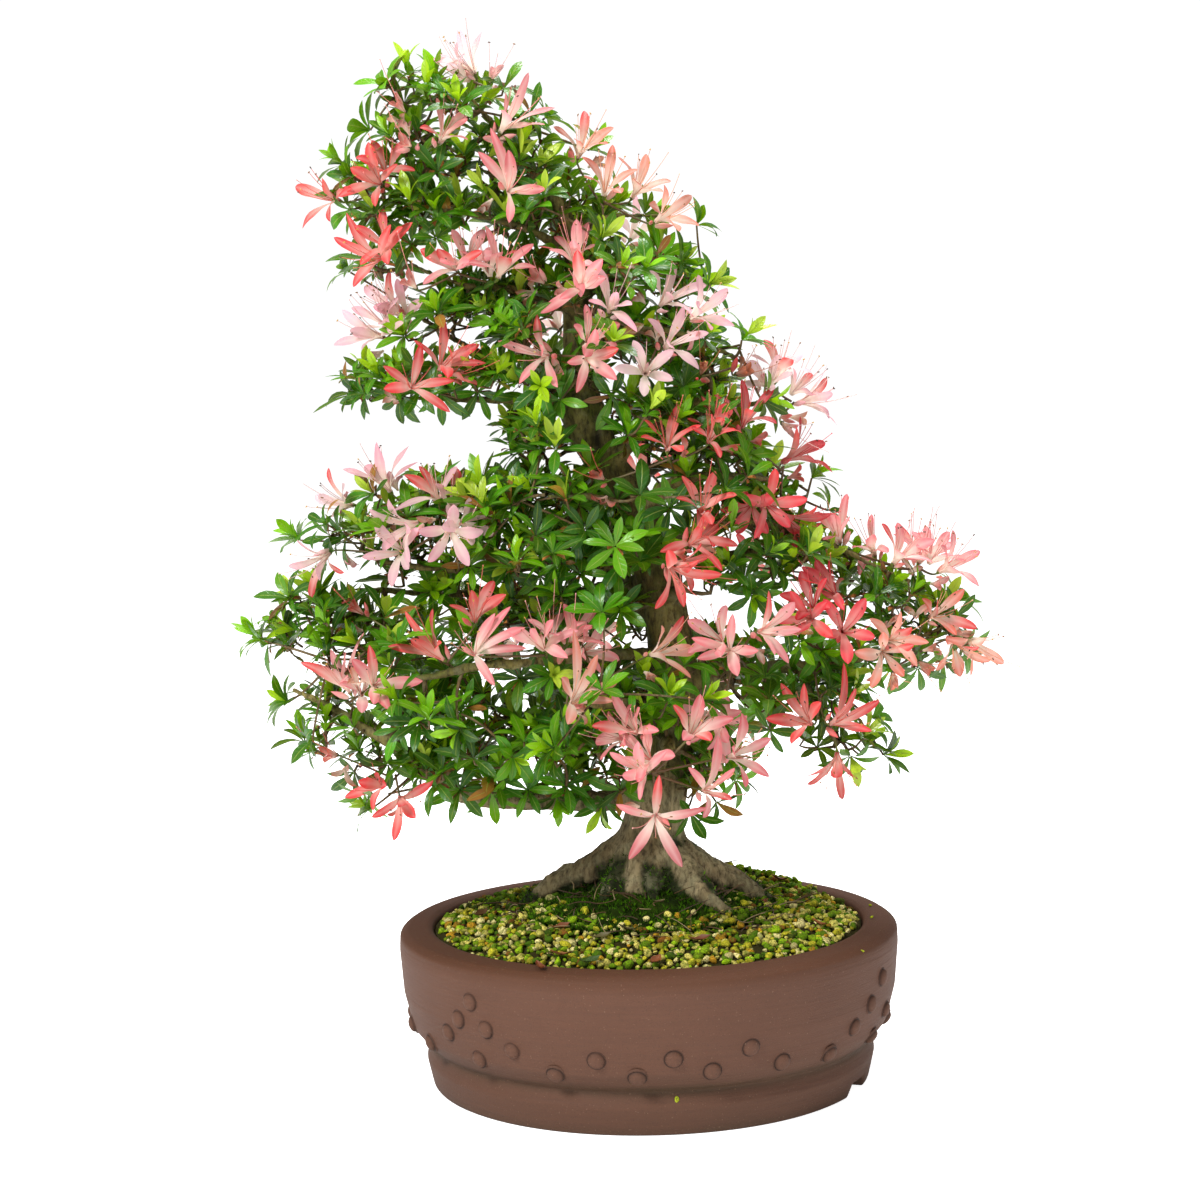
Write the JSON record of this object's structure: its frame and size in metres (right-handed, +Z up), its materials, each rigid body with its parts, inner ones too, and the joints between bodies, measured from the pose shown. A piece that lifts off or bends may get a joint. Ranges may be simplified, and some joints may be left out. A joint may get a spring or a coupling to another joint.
{
  "type": "satsuki azalea bonsai in a pot",
  "caption": "Satsuki azalea bonsai with narrow star-shaped pink and coral blooms, an upright trunk with surface roots, and a round unglazed pot with raised studs.",
  "frame": {"origin": "middle of the base of the whole plant and pot's box, on the surface that the pot stands on", "axes": "+Z up; +X to the viewer's right along the crown's widest spread; -Y towards the front that is shown"},
  "size_m": [0.5816, 0.3814, 0.7891],
  "materials": {
    "pot": "unglazed brown stoneware, matte, finely speckled",
    "drain_mesh": "black plastic mesh",
    "soil": "loose mineral grains, dusted yellow-green with moss",
    "moss": "short dark moss",
    "bark": "grey-brown fissured bark with green moss in the hollows",
    "leaf": "living leaf, slightly glossy",
    "petal_pale": "soft petal, pale pink to white",
    "petal_pink": "soft petal, pink",
    "petal_coral": "soft petal, coral red",
    "petal_crimson": "soft petal, crimson pink",
    "petal_salmon": "soft petal, salmon",
    "petal_withered": "dry curled petal, salmon brown"
  },
  "bodies": {
    "root": {"pot": "pot", "drain_mesh": "drain_mesh", "soil": "soil", "moss": "moss", "trunk": "bark", "bloom_apex_pale": "petal_pale", "bloom_apex_pink": "petal_pink", "bloom_crown_pink": "petal_pink", "bloom_crown_right": "petal_salmon", "bloom_left_coral": "petal_coral", "bloom_left_pink": "petal_pink", "bloom_left_edge": "petal_pale", "bloom_centre_top": "petal_pink", "bloom_centre_pale": "petal_pale", "bloom_left_mid": "petal_coral", "bloom_centre_pink": "petal_pink", "bloom_right_withered": "petal_withered", "bloom_right_edge": "petal_pale", "bloom_centre_coral": "petal_coral", "bloom_right_crimson": "petal_crimson", "bloom_centre_star": "petal_coral", "bloom_left_pad_pale": "petal_pale", "bloom_left_pad_edge": "petal_pale", "bloom_low_left_coral": "petal_coral", "bloom_low_left_pink": "petal_pink", "bloom_low_front": "petal_salmon", "bloom_low_edge": "petal_pink", "bloom_low_hanging": "petal_coral", "bloom_right_pad": "petal_pink", "bloom_right_front": "petal_crimson", "bloom_right_star": "petal_pink", "bloom_right_tip": "petal_salmon", "bloom_right_low": "petal_coral", "bloom_bottom": "petal_pink", "bloom_back_low": "petal_pink", "bloom_back_mid": "petal_coral", "bloom_back_top": "petal_pale", "spray_apex_left": "leaf", "spray_apex_right": "leaf", "spray_left_top": "leaf", "spray_left_upper": "leaf", "spray_crown": "leaf", "spray_crown_right": "leaf", "spray_centre_upper": "leaf", "spray_right_upper": "leaf", "spray_right_mid": "leaf", "spray_centre": "leaf", "spray_centre_right": "leaf", "spray_left_pad": "leaf", "spray_right_pad": "leaf", "spray_right_tip": "leaf", "spray_right_low": "leaf", "spray_low_left": "leaf", "spray_low_left_front": "leaf", "spray_low_front": "leaf", "spray_low_inner": "leaf", "spray_bottom": "leaf", "spray_back_low": "leaf", "spray_back_mid": "leaf", "spray_back_top": "leaf"}
  },
  "joints": []
}
